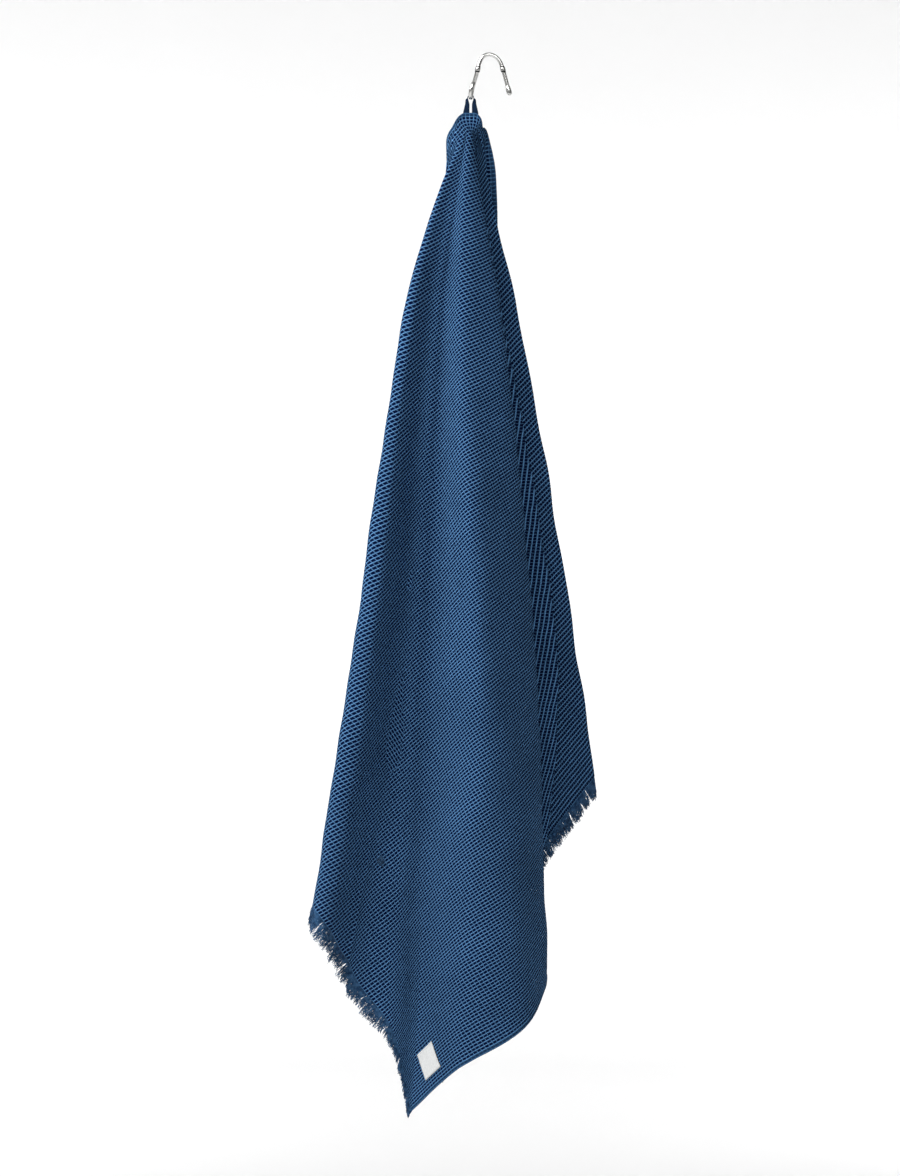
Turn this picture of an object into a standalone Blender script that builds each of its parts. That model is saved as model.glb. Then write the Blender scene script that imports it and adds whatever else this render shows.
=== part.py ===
"""A bath sheet hung by its loop from the middle of one long side, on a small steel hook. Metres, +Z up.

The cloth is laid out as a fan of rays from the loop. FOLDS says where each fold line runs, seen from above, at
each distance from the loop, and the rays keep their cut length, so the corners end where they do on the real
sheet.
"""

import math
import random
from collections import namedtuple

import bmesh
import bpy
import numpy as np
from mathutils import Matrix, Vector

CM = 0.01
CLOTH_LENGTH = 1.45
CLOTH_WIDTH = 1.00
CLOTH_THICKNESS = 0.0016
GAP = 0.0003

# The loop is sewn to the hem here. The origin is at the top of the hook's arch, on its inner side.
LOOP_ROOT = Vector((-0.0236, 0.0, -0.0700))

FRINGE_STRANDS = 100
FRINGE_STRIP = 0.0042
FRINGE_THICKNESS = 0.0012
FRINGE_LENGTH = 0.0145
FRINGE_UNEVEN = 0.0045
FRINGE_DROOP = 0.004
FRINGE_LOCK_SHARE = 0.62
FRINGE_TIP_TAPER = 0.35
LEAST_LOCK = 0.003
FRINGE_GAP = 0.0009

LABEL_SIZE = (0.031, 0.037)
LABEL_CENTRE = (-0.668, 0.964)
LABEL_THICKNESS = 0.0008

WIRE_DIAMETER = 0.0050
COLLAR_RISE = 1.34
TAPE_THICKNESS = 0.0010
TAPE_FOOT_THICKNESS = 0.0012
TAPE_WIDTH = 0.0064
TAPE_TOP_WIDTH = 0.0044
TAPE_SEAT = 0.0008
TAPE_FOOT = -0.0060
LOOP_GAP = 0.0033

# Plan of the folds: centimetres right of the loop and behind it, at these distances down the cloth from the loop.
SECTIONS = (0, 5, 10, 16, 25, 75, 125)
Fold = namedtuple("Fold", "name top_angle middle_angle low_angle turns columns right behind")
FOLDS = (
    Fold("left selvage", 0, 0, 0, 0, 4,
         (0, -2.8, -2.4, -2.0, -1.5, -2.0, -2.2), (0, 0.5, 0.6, 0.75, 1.0, 2.2, 3.2)),
    Fold("left back turn", 9, 9, 9, 1, 6,
         (0, -2.6, -3.0, -3.6, -5.0, -13.0, -19.6), (0, 0.1, 0.3, 0.3, 0.3, -0.2, -0.8)),
    Fold("left inner turn", 22, 23.5, 24, 0.4, 7,
         (0, -2.2, -1.5, -1.2, -0.9, 5.4, 9.0), (0, -0.3, -0.05, 0.1, 0.4, 1.5, 2.2)),
    Fold("left outer fold", 38, 41.8, 43.2, 0.7, 2,
         (0, -1.6, -3.45, -5.35, -7.75, -15.1, -23.0), (0, -0.7, -0.9, -1.5, -2.5, -7.9, -12.5)),
    Fold("left crest", 40, 43.8, 44.9, 0, 2,
         (0, -1.4, -3.2, -4.85, -6.8, -12.9, -21.2), (0, -0.75, -1.15, -1.75, -3.0, -9.2, -13.8)),
    Fold("valley side", 44.5, 47.9, 46.9, 0, 2,
         (0, -1.1, -2.4, -3.6, -5.1, -9.7, -18.2), (0, -0.75, -0.7, -0.95, -1.5, -5.2, -9.6)),
    Fold("valley", 48.5, 50.8, 50.4, 0, 2,
         (0, -0.9, -1.9, -2.8, -4.0, -7.1, -10.2), (0, -0.65, -0.55, -0.75, -1.2, -4.2, -7.6)),
    Fold("front corner", 52, 53.5, 54.06, 0, 3,
         (0, -0.7, -1.4, -2.1, -2.9, -4.4, -7.2), (0, -0.6, -0.5, -0.65, -1.05, -3.8, -6.4)),
    Fold("front crest", 59.5, 58.6, 58.3, 0, 2,
         (0, -0.3, -0.7, -0.9, -1.0, 0.9, -0.6), (0, -0.75, -1.1, -1.6, -2.7, -7.6, -8.2)),
    Fold("front shoulder", 65.5, 63.1, 62.4, 0, 3,
         (0, 0.2, 0.4, 0.9, 1.6, 5.2, 7.6), (0, -0.5, -0.8, -1.1, -1.7, -4.8, -5.5)),
    Fold("right outer fold", 73, 68.4, 67.0, 0.5, 2,
         (0, 0.6, 1.3, 2.3, 3.8, 8.5, 10.0), (0, 0.2, 0.1, 0.2, 0.2, 1.2, 2.4)),
    Fold("right roll", 76, 70.9, 69.3, 0, 6,
         (0, 0.6, 1.15, 2.0, 3.3, 7.6, 9.0), (0, 0.6, 0.8, 1.1, 1.6, 4.2, 6.0)),
    Fold("first hidden turn", 91, 87.6, 86.5, 1, 7,
         (0, 0.45, -1.2, -3.2, -5.0, -14.0, -18.0), (0, 1.0, 1.15, 1.4, 1.9, 4.8, 7.2)),
    Fold("second hidden turn", 108, 105.4, 104.5, 1, 7,
         (0, 0.6, 1.2, 2.4, 3.9, 11.0, 4.0), (0, 1.6, 1.55, 1.9, 2.5, 6.7, 9.5)),
    Fold("third hidden turn", 124, 120.4, 119.3, 1, 2,
         (0, 0.85, -0.7, -2.4, -4.4, -13.4, -10.0), (0, 1.9, 2.0, 2.5, 3.2, 8.7, 12.0)),
    Fold("back corner", 129, 126.6, 125.94, 0, 6,
         (0, 1.1, 0.1, -1.0, -2.4, -8.4, -4.0), (0, 2.0, 2.1, 2.7, 3.5, 9.6, 13.5)),
    Fold("flap outer fold", 151, 148.4, 147.8, 1, 7,
         (0, 1.6, 2.4, 3.6, 5.7, 14.3, 20.9), (0, 1.75, 2.2, 2.7, 3.6, 9.4, 13.8)),
    Fold("flap back turn", 170, 170, 170, 1, 4,
         (0, 1.95, 0.9, -0.4, -1.6, -7.6, -11.0), (0, 2.1, 2.8, 3.6, 4.7, 12.4, 17.5)),
    Fold("right selvage", 180, 180, 180, 0, 0,
         (0, 2.4, 3.3, 3.5, 3.2, 5.0, 7.4), (0, 2.0, 3.1, 4.0, 5.4, 13.8, 19.0)),
)
TURN_RADIUS_AT_LOOP = 0.0001
TURN_RADIUS_GROWTH = 0.0030
TURN_CROWDING = 0.65
ANGLE_SHARES = (0, 0.75, 1)
GATHERED = (0.006, 0.032)
STOOD_OFF = (0.012, 0.045)
RAY_ROWS = 24
RAY_STEPS = 6
PAST_EDGE = 1.03
TOP_CROWDING = 1.6
PLAN_STEP = 0.0025
PLAN_REACH = 1.32

# Hook wire, centimetres from the loop's root: right, behind, up. It turns a quarter between the arch and the bend.
HOOK_ROUTE = (
    (0.56, -0.70, 3.80), (0.28, -0.92, 3.15), (0.12, -0.88, 2.58), (0.10, -0.55, 2.02), (0.13, 0.00, 1.83),
    (0.17, 0.55, 2.02), (0.24, 0.86, 2.60), (0.42, 0.70, 3.40), (0.70, 0.36, 4.35), (1.00, 0.06, 5.40),
    (1.21, 0.00, 6.20), (1.62, 0.00, 6.93), (2.33, 0.00, 7.25), (3.12, 0.00, 7.02), (3.74, 0.00, 6.38),
    (4.12, 0.00, 5.40), (4.58, 0.00, 3.75), (5.00, 0.00, 2.15),
)
HOOK_STEPS = 5
COLLAR_HEIGHT = 5.40 * CM
COLLAR_HALF = 0.0028


def steady_slopes(knots, values):
    """Slopes of a curve through the values, the last axis along the knots, that never overshoots them."""
    step = np.diff(knots)
    rise = np.diff(values) / step
    before, after = rise[..., :-1], rise[..., 1:]
    total = before + after
    same_way = before * after > 0
    mean = np.where(same_way, 2 * before * after / np.where(same_way, total, 1.0), 0.0)
    return np.concatenate([rise[..., :1], mean, rise[..., -1:]], axis=-1)


def curve_through(knots, values, slopes, at):
    """Values of the cubic curve at the places asked for, along the last axis."""
    knots = np.asarray(knots, float)
    piece = np.clip(np.searchsorted(knots, at, side="right") - 1, 0, len(knots) - 2)
    step = knots[piece + 1] - knots[piece]
    part = (at - knots[piece]) / step
    square, cube = part**2, part**3
    return (
        values[..., piece] * (2 * cube - 3 * square + 1)
        + slopes[..., piece] * step * (cube - 2 * square + part)
        + values[..., piece + 1] * (3 * square - 2 * cube)
        + slopes[..., piece + 1] * step * (cube - square)
    )


def fold_lines(reach):
    """Each fold's place right of the loop and behind it, in metres, at one distance down the cloth."""
    places = []
    for table in ("right", "behind"):
        values = np.array([getattr(fold, table) for fold in FOLDS], float)
        slopes = steady_slopes(SECTIONS, values)
        places.append(curve_through(SECTIONS, values, slopes, reach / CM) * CM)
    return places


def section(reach, places):
    """The cloth's line seen from above at one distance down it, at places counted in folds."""
    knots = np.arange(len(FOLDS))
    right, behind = fold_lines(reach)
    turns = np.array([fold.turns for fold in FOLDS])
    radius = TURN_RADIUS_AT_LOOP + TURN_RADIUS_GROWTH * reach
    onward = np.gradient(behind)
    before, after = np.abs(np.diff(right, prepend=right[0])), np.abs(np.diff(right, append=right[-1]))
    turns_back = np.diff(right, prepend=right[0]) * np.diff(right, append=right[-1]) < 0
    panel = np.where(turns_back, 2 * before * after / np.maximum(before + after, 1e-9), 0.0)
    rounding = turns * np.sqrt(6 * panel * radius)
    behind_slopes = np.where(onward < 0, -1, 1) * np.maximum(np.abs(onward), rounding)
    return (
        curve_through(knots, right, steady_slopes(knots, right), places),
        curve_through(knots, behind, behind_slopes, places),
    )


def column_places():
    """Lattice columns, counted in folds from the left selvage and crowded where the cloth turns back."""
    places = [0.0]
    for start, (fold, following) in enumerate(zip(FOLDS, FOLDS[1:])):
        for i in range(fold.columns):
            share = (i + 1) / fold.columns
            bend = TURN_CROWDING * math.sin(2 * math.pi * share) / (2 * math.pi)
            places.append(start + share - bend * (fold.turns if share < 0.5 else following.turns))
    return np.array(places)


def column_angles(places, share):
    """Each column's ray, in radians from the left selvage, at one share of the way to the cut edge."""
    fine = np.linspace(0, len(FOLDS) - 1, 24 * (len(FOLDS) - 1) + 1)
    x, y = section(0.75, fine)
    along = np.concatenate([[0], np.cumsum(np.hypot(np.diff(x), np.diff(y)))])
    knots = np.arange(len(FOLDS))
    at_knots = np.interp(knots, fine, along)
    rays = np.array([(fold.top_angle, fold.middle_angle, fold.low_angle) for fold in FOLDS], float)
    angles = curve_through(ANGLE_SHARES, rays, steady_slopes(ANGLE_SHARES, rays), min(share, 1.0))
    return np.radians(np.interp(np.interp(places, fine, along), at_knots, angles))


def edge_distance(angle):
    """Distance from the loop to the cut edge along a ray."""
    to_side = CLOTH_LENGTH / 2 / np.maximum(np.abs(np.cos(angle)), 1e-6)
    to_foot = CLOTH_WIDTH / np.maximum(np.sin(angle), 1e-6)
    return np.minimum(to_side, to_foot)


def ease(value, start, end):
    """Rises smoothly from 0 at the start to 1 at the end."""
    share = np.clip((value - start) / (end - start), 0, 1)
    return share * share * (3 - 2 * share)


def ray_point(plan, angles, reach):
    """Right and behind for each column, flat against the view at the loop and in its folds further down."""
    index = reach / PLAN_STEP
    low = np.clip(index.astype(int), 0, len(plan) - 2)
    part = (index - low)[:, None]
    columns = np.arange(len(reach))
    hung_point = plan[low, columns] * (1 - part) + plan[low + 1, columns] * part
    gathered, stood_off = (ease(reach, *span) for span in (GATHERED, STOOD_OFF))
    spread = -reach * np.cos(angles)
    return spread + gathered * (hung_point[:, 0] - spread), stood_off * hung_point[:, 1]


class HungCloth:
    """The cloth's points on a lattice of columns, which follow the folds, and rows, which follow the cut edge."""

    def __init__(self):
        self.places = column_places()
        shares = np.linspace(0, 1, RAY_ROWS * RAY_STEPS + 1) ** TOP_CROWDING
        shares = np.concatenate([shares, [PAST_EDGE]])
        plan = np.array([section(i * PLAN_STEP, self.places) for i in range(round(PLAN_REACH / PLAN_STEP) + 1)])
        plan = plan.transpose(0, 2, 1)
        reaches, angles, points = [], [], []
        for share in shares:
            angle = column_angles(self.places, share)
            reach = share * edge_distance(angle)
            x, y = ray_point(plan, angle, reach)
            drop = np.zeros_like(x)
            if points:
                last = points[-1]
                along = (reach - reaches[-1]) ** 2 + ((reach + reaches[-1]) / 2 * (angle - angles[-1])) ** 2
                across = (x - last[:, 0]) ** 2 + (y - last[:, 1]) ** 2
                drop = last[:, 2] - np.sqrt(np.maximum(along - across, 0))
            reaches.append(reach)
            angles.append(angle)
            points.append(np.stack([x, y, drop], axis=1))
        kept = list(range(0, RAY_ROWS * RAY_STEPS + 1, RAY_STEPS)) + [len(shares) - 1]
        self.shares = shares[kept]
        self.points = np.array(points)[kept] + np.array(LOOP_ROOT)
        along_row = np.gradient(self.points, axis=1)
        down_column = np.gradient(self.points, axis=0)
        normals = np.cross(down_column, along_row)
        self.normals = normals / np.maximum(np.linalg.norm(normals, axis=2, keepdims=True), 1e-12)

    def between(self, lattice, along, down):
        """A lattice's value at a place of the flat cloth, which may lie just past its edge."""
        angle = math.atan2(down, -along)
        share = math.hypot(along, down) / float(edge_distance(np.array(angle)))
        place = float(np.interp(angle, column_angles(self.places, share), self.places))
        column = min(int(np.searchsorted(self.places, place, side="right")) - 1, len(self.places) - 2)
        row = min(int(np.searchsorted(self.shares, share, side="right")) - 1, len(self.shares) - 2)
        a = (place - self.places[column]) / (self.places[column + 1] - self.places[column])
        b = (share - self.shares[row]) / (self.shares[row + 1] - self.shares[row])
        near = lattice[row, column] * (1 - a) + lattice[row, column + 1] * a
        far = lattice[row + 1, column] * (1 - a) + lattice[row + 1, column + 1] * a
        return Vector(near * (1 - b) + far * b)

    def at(self, along, down):
        """Point of the hung cloth at a place of the flat cloth."""
        return self.between(self.points, along, down)

    def facing(self, along, down):
        """Way that the front side faces, shorter than one where the cloth turns back, as its thickness is."""
        return self.between(self.normals, along, down)


def material(name, colour, roughness, metallic=0.0):
    made = bpy.data.materials.new(name)
    made.use_nodes = True
    shader = made.node_tree.nodes["Principled BSDF"]
    shader.inputs["Base Color"].default_value = (*colour, 1.0)
    shader.inputs["Roughness"].default_value = roughness
    shader.inputs["Metallic"].default_value = metallic
    return made


def add_object(name, bm, collection, finish):
    mesh = bpy.data.meshes.new(name)
    bm.to_mesh(mesh)
    bm.free()
    made = bpy.data.objects.new(name, mesh)
    mesh.materials.append(finish)
    mesh.shade_smooth()
    collection.objects.link(made)
    return made


def face_outwards(bm):
    """Turns a closed body's faces out."""
    bmesh.ops.recalc_face_normals(bm, faces=bm.faces)
    if bm.calc_volume(signed=True) < 0:
        bmesh.ops.reverse_faces(bm, faces=bm.faces)


def grid_of(points):
    """A bmesh grid whose vertices take these points, rows first."""
    rows, columns = points.shape[:2]
    bm = bmesh.new()
    bmesh.ops.create_grid(bm, x_segments=columns - 1, y_segments=rows - 1, size=0.5)
    bm.verts.ensure_lookup_table()
    for vert in bm.verts:
        column = round((vert.co.x + 0.5) * (columns - 1))
        row = round((vert.co.y + 0.5) * (rows - 1))
        vert.co = points[row, column]
    return bm


def make_towel(cloth, collection, finish):
    bm = grid_of(cloth.points[:-1])
    bmesh.ops.remove_doubles(bm, verts=bm.verts, dist=1e-6)
    towel = add_object("towel", bm, collection, finish)
    shell = towel.modifiers.new("thickness", "SOLIDIFY")
    shell.thickness = CLOTH_THICKNESS
    shell.offset = 0
    return towel


def loft(bm, rings):
    """Joins rings of four vertices into one closed body."""
    for first, second in zip(rings, rings[1:]):
        edges = []
        for ring in (first, second):
            for start, end in zip(ring, ring[1:] + ring[:1]):
                edges.append(bm.edges.get((start, end)) or bm.edges.new((start, end)))
        bmesh.ops.bridge_loops(bm, edges=edges)
    for ring in (rings[0], rings[-1]):
        bm.faces.new(ring)
    face_outwards(bm)


def snap_to_columns(downs, side, cloth):
    """Moves the nearest lock edges onto the cloth's own columns, so that the strip bends where the cloth does."""
    angles = column_angles(cloth.places, 1.0)
    for angle in angles[side * np.cos(angles) < -1e-6]:
        down = CLOTH_LENGTH / 2 * abs(math.tan(angle))
        if down <= CLOTH_WIDTH + GAP:
            nearest = min(range(len(downs)), key=lambda i: abs(downs[i] - down))
            if abs(downs[nearest] - down) < LEAST_LOCK:
                downs[nearest] = down


def make_fringe(name, side, cloth, collection, finish, seed):
    """Short locks along one cut side, their roots fused into a narrow strip just off the cloth's edge."""
    rng = random.Random(seed)
    pitch = CLOTH_WIDTH / FRINGE_STRANDS
    downs = []
    for i in range(FRINGE_STRANDS):
        start = (i + (1 - FRINGE_LOCK_SHARE) / 2) * pitch
        downs += [start, start + FRINGE_LOCK_SHARE * pitch]
    snap_to_columns(downs, side, cloth)
    edge = CLOTH_LENGTH / 2 + FRINGE_GAP
    near_far = (edge, edge + FRINGE_STRIP)
    half = FRINGE_THICKNESS / 2

    def place(along, down, height):
        return cloth.at(side * along, down) + cloth.facing(side * CLOTH_LENGTH / 2, down) * height

    bm = bmesh.new()
    ring = []
    for down in downs:
        corners = [(near_far[0], -half), (near_far[1], -half), (near_far[1], half), (near_far[0], half)]
        ring.append([bm.verts.new(place(along, down, height)) for along, height in corners])
    loft(bm, ring)
    outer = []
    for i in range(FRINGE_STRANDS):
        corners = {ring[2 * i][1], ring[2 * i][2], ring[2 * i + 1][1], ring[2 * i + 1][2]}
        outer.append(next(face for face in ring[2 * i][1].link_faces if set(face.verts) == corners))
    made = bmesh.ops.extrude_discrete_faces(bm, faces=outer)["faces"]
    for i, face in enumerate(made):
        root = face.calc_center_median()
        down = (downs[2 * i] + downs[2 * i + 1]) / 2
        length = FRINGE_LENGTH + rng.uniform(-1, 1) * FRINGE_UNEVEN
        lean = rng.uniform(-0.0025, 0.0025)
        tip = place(near_far[1] + length, down + lean, rng.uniform(-0.002, 0.002))
        tip.z -= FRINGE_DROOP * length / FRINGE_LENGTH
        for vert in face.verts:
            vert.co = tip + (vert.co - root) * FRINGE_TIP_TAPER
    return add_object(name, bm, collection, finish)


def make_label(cloth, collection, finish):
    """A small woven label lying on the cloth."""
    lift = CLOTH_THICKNESS / 2 + GAP + LABEL_THICKNESS / 2
    columns, rows = 3, 4
    points = np.empty((rows, columns, 3))
    for i in range(rows):
        for j in range(columns):
            along = LABEL_CENTRE[0] + LABEL_SIZE[0] * (j / (columns - 1) - 0.5)
            down = LABEL_CENTRE[1] + LABEL_SIZE[1] * (i / (rows - 1) - 0.5)
            points[i, j] = cloth.at(along, down) + cloth.facing(along, down) * (lift + GAP)
    label = add_object("label", grid_of(points), collection, finish)
    shell = label.modifiers.new("thickness", "SOLIDIFY")
    shell.thickness = LABEL_THICKNESS
    shell.offset = 0
    return label


def smooth_route(points, steps):
    """Points of a smooth curve through a wire's own points."""
    knots = np.arange(len(points))
    values = np.array(points, float).T * CM
    slopes = np.gradient(values, axis=1)
    at = np.linspace(0, len(points) - 1, steps * (len(points) - 1) + 1)
    return curve_through(knots, values, slopes, at).T + np.array(LOOP_ROOT)


def make_hook(collection, finish):
    """Round wire with an arch above and a small bend below that holds the loop, and two pressed collars."""
    route = smooth_route(HOOK_ROUTE, HOOK_STEPS)
    curve = bpy.data.curves.new("hook", "CURVE")
    curve.dimensions = "3D"
    curve.bevel_depth = WIRE_DIAMETER / 2
    curve.bevel_resolution = 2
    curve.use_fill_caps = True
    spline = curve.splines.new("POLY")
    spline.points.add(len(route) - 1)
    for point, place in zip(spline.points, route):
        point.co = (*place, 1.0)
        above = place[2] - LOOP_ROOT.z
        near_collar = abs(above - COLLAR_HEIGHT) < COLLAR_HALF
        point.radius = COLLAR_RISE if near_collar else 1.0
    curve.materials.append(finish)
    hook = bpy.data.objects.new("hook", curve)
    collection.objects.link(hook)
    return hook


def make_loop(collection, finish):
    """Narrow tape over the hook's lower bend, flat across the wire at the top and flat against the cloth below."""
    bend_x, bend_z = 0.13 * CM, 1.83 * CM
    inner = WIRE_DIAMETER / 2 + TAPE_SEAT
    over = inner + TAPE_THICKNESS / 2
    behind = CLOTH_THICKNESS / 2 + GAP + TAPE_FOOT_THICKNESS / 2
    stations = []
    for turn in (0, 30, 60, 90):
        angle = math.radians(turn)
        stations.append(
            (over * math.sin(angle), bend_z + over * math.cos(angle), turn, TAPE_THICKNESS, TAPE_TOP_WIDTH, 0.0)
        )
    for share in (0.25, 0.5, 0.75, 1.0):
        width = TAPE_THICKNESS + (TAPE_WIDTH - TAPE_THICKNESS) * share**0.7
        depth = TAPE_TOP_WIDTH + (TAPE_FOOT_THICKNESS - TAPE_TOP_WIDTH) * share**0.7
        side = inner * (1 - share) + LOOP_GAP / 2 * share + width / 2
        stations.append((side, bend_z * (1 - share), 90, width, depth, behind * share))
    stations.append((LOOP_GAP / 2 + TAPE_WIDTH / 2, TAPE_FOOT, 90, TAPE_WIDTH, TAPE_FOOT_THICKNESS, behind))
    both = [(-x, z, -turn, w, d, y) for x, z, turn, w, d, y in reversed(stations[1:])] + stations
    bm = bmesh.new()
    rings = []
    for x, z, turn, width, depth, y in both:
        centre = LOOP_ROOT + Vector((bend_x + x, y, z))
        spin = Matrix.Rotation(math.radians(turn), 3, "Y")
        ring = []
        for across, back in ((-1, -1), (1, -1), (1, 1), (-1, 1)):
            offset = spin @ Vector((0, 0, across * width / 2))
            ring.append(bm.verts.new(centre + offset + Vector((0, back * depth / 2, 0))))
        rings.append(ring)
    loft(bm, rings)
    return add_object("hanging_loop", bm, collection, finish)


def main():
    for old in list(bpy.data.objects):
        bpy.data.objects.remove(old)
    collection = bpy.data.collections.new("bath_sheet")
    bpy.context.scene.collection.children.link(collection)
    blue = material("blue cotton", (0.022, 0.062, 0.135), 0.92)
    fringe_blue = material("blue fringe", (0.024, 0.066, 0.142), 0.95)
    navy = material("navy tape", (0.010, 0.022, 0.050), 0.85)
    white = material("woven label", (0.80, 0.80, 0.78), 0.80)
    steel = material("polished steel", (0.62, 0.63, 0.64), 0.22, 1.0)
    cloth = HungCloth()
    make_towel(cloth, collection, blue)
    make_fringe("fringe_left", -1, cloth, collection, fringe_blue, 3)
    make_fringe("fringe_right", 1, cloth, collection, fringe_blue, 5)
    make_label(cloth, collection, white)
    make_loop(collection, navy)
    make_hook(collection, steel)


main()
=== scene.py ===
"""Looks of a bath sheet that hangs by its loop on a small steel hook.

Waffle cotton in deep uneven folds, thread fringes on both short sides, a plain sewn label, a tape loop, polished
wire and a pale studio. Metres, +Z up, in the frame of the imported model.
"""

import logging
import math
import random
from dataclasses import dataclass
from enum import Enum

import bmesh
import bpy
import numpy as np
from mathutils import Matrix, Vector


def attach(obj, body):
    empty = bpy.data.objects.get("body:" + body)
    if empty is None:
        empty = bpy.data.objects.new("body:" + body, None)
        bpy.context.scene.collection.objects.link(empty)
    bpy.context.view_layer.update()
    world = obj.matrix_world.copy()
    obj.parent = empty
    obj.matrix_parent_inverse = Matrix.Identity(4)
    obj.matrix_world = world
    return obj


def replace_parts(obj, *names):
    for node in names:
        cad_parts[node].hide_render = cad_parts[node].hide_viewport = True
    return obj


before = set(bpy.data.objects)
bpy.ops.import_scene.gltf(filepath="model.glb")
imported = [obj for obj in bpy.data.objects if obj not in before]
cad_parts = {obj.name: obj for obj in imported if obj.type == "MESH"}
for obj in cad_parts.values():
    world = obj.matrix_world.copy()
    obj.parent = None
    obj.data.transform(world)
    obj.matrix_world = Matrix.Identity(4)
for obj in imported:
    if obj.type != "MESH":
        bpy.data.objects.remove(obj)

Array = np.ndarray
Material = bpy.types.Material
Mesh = bmesh.types.BMesh
Object = bpy.types.Object
Socket = bpy.types.NodeSocket
Numbers = tuple[float, ...]
Pair = tuple[float, float]
Triple = tuple[float, float, float]
Route = tuple[list[Vector], list[float]]

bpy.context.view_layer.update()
SCENE = bpy.context.scene
LOG = logging.getLogger("bath_sheet")
CM = 0.01
SAME_PLACE = 1e-6
LOOP_ROOT = Vector((-0.0236, 0.0, -0.0700))


class Side(Enum):
    """Which short side of the sheet a piece belongs to."""

    LEFT = -1
    RIGHT = 1


@dataclass(frozen=True)
class FoldLine:
    """One fold line of the hanging sheet, in centimetres right of the loop and behind it at each section."""

    name: str
    top_angle: float
    middle_angle: float
    low_angle: float
    turns: float
    columns: int
    right: Numbers
    behind: Numbers


SECTIONS = (0, 5, 10, 16, 25, 75, 125)
ANGLE_SHARES = (0, 0.75, 1)
FOLDS = tuple(FoldLine(*row) for row in (
    ("left selvage", 0, 0, 0, 0, 4,
     (0, -2.8, -2.4, -2.0, -1.5, -2.0, -2.2), (0, 0.5, 0.6, 0.75, 1.0, 2.2, 3.2)),
    ("left back turn", 9, 9, 9, 1, 6,
     (0, -2.6, -3.0, -3.6, -5.0, -13.0, -19.6), (0, 0.1, 0.3, 0.3, 0.3, -0.2, -0.8)),
    ("left inner turn", 22, 23.5, 24, 0.4, 7,
     (0, -2.2, -1.5, -1.2, -0.9, 5.4, 9.0), (0, -0.3, -0.05, 0.1, 0.4, 1.5, 2.2)),
    ("left outer fold", 38, 41.8, 43.2, 0.7, 2,
     (0, -1.6, -3.45, -5.35, -7.75, -15.1, -23.0), (0, -0.7, -0.9, -1.5, -2.5, -7.9, -12.5)),
    ("left crest", 40, 43.8, 44.9, 0, 2,
     (0, -1.4, -3.2, -4.85, -6.8, -12.9, -21.2), (0, -0.75, -1.15, -1.75, -3.0, -9.2, -13.8)),
    ("valley side", 44.5, 47.9, 46.9, 0, 2,
     (0, -1.1, -2.4, -3.6, -5.1, -9.7, -18.2), (0, -0.75, -0.7, -0.95, -1.5, -5.2, -9.6)),
    ("valley", 48.5, 50.8, 50.4, 0, 2,
     (0, -0.9, -1.9, -2.8, -4.0, -7.1, -10.2), (0, -0.65, -0.55, -0.75, -1.2, -4.2, -7.6)),
    ("front corner", 52, 53.5, 54.06, 0, 3,
     (0, -0.7, -1.4, -2.1, -2.9, -4.4, -7.2), (0, -0.6, -0.5, -0.65, -1.05, -3.8, -6.4)),
    ("front crest", 59.5, 58.6, 58.3, 0, 2,
     (0, -0.3, -0.7, -0.9, -1.0, 0.9, -0.6), (0, -0.75, -1.1, -1.6, -2.7, -7.6, -8.2)),
    ("front shoulder", 65.5, 63.1, 62.4, 0, 3,
     (0, 0.2, 0.4, 0.9, 1.6, 5.2, 7.6), (0, -0.5, -0.8, -1.1, -1.7, -4.8, -5.5)),
    ("right outer fold", 73, 68.4, 67.0, 0.5, 2,
     (0, 0.6, 1.3, 2.3, 3.8, 8.5, 10.0), (0, 0.2, 0.1, 0.2, 0.2, 1.2, 2.4)),
    ("right roll", 76, 70.9, 69.3, 0, 6,
     (0, 0.6, 1.15, 2.0, 3.3, 7.6, 9.0), (0, 0.6, 0.8, 1.1, 1.6, 4.2, 6.0)),
    ("first hidden turn", 91, 87.6, 86.5, 1, 7,
     (0, 0.45, -1.2, -3.2, -5.0, -14.0, -18.0), (0, 1.0, 1.15, 1.4, 1.9, 4.8, 7.2)),
    ("second hidden turn", 108, 105.4, 104.5, 1, 7,
     (0, 0.6, 1.2, 2.4, 3.9, 11.0, 4.0), (0, 1.6, 1.55, 1.9, 2.5, 6.7, 9.5)),
    ("third hidden turn", 124, 120.4, 119.3, 1, 2,
     (0, 0.85, -0.7, -2.4, -4.4, -13.4, -10.0), (0, 1.9, 2.0, 2.5, 3.2, 8.7, 12.0)),
    ("back corner", 129, 126.6, 125.94, 0, 6,
     (0, 1.1, 0.1, -1.0, -2.4, -8.4, -4.0), (0, 2.0, 2.1, 2.7, 3.5, 9.6, 13.5)),
    ("flap outer fold", 151, 148.4, 147.8, 1, 7,
     (0, 1.6, 2.4, 3.6, 5.7, 14.3, 20.9), (0, 1.75, 2.2, 2.7, 3.6, 9.4, 13.8)),
    ("flap back turn", 170, 170, 170, 1, 4,
     (0, 1.95, 0.9, -0.4, -1.6, -7.6, -11.0), (0, 2.1, 2.8, 3.6, 4.7, 12.4, 17.5)),
    ("right selvage", 180, 180, 180, 0, 0,
     (0, 2.4, 3.3, 3.5, 3.2, 5.0, 7.4), (0, 2.0, 3.1, 4.0, 5.4, 13.8, 19.0)),
))


def steady_slopes(knots: Array, values: Array) -> Array:
    """Slopes of a curve through values that never overshoots them.

    Args:
        knots: Places of the values along the last axis.
        values: The values, any number of curves at once.

    Returns:
        One slope for each value.
    """
    step = np.diff(knots)
    rise = np.diff(values) / step
    before, after = rise[..., :-1], rise[..., 1:]
    same_way = before * after > 0
    mean = np.where(same_way, 2 * before * after / np.where(same_way, before + after, 1.0), 0.0)
    return np.concatenate([rise[..., :1], mean, rise[..., -1:]], axis=-1)


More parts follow.
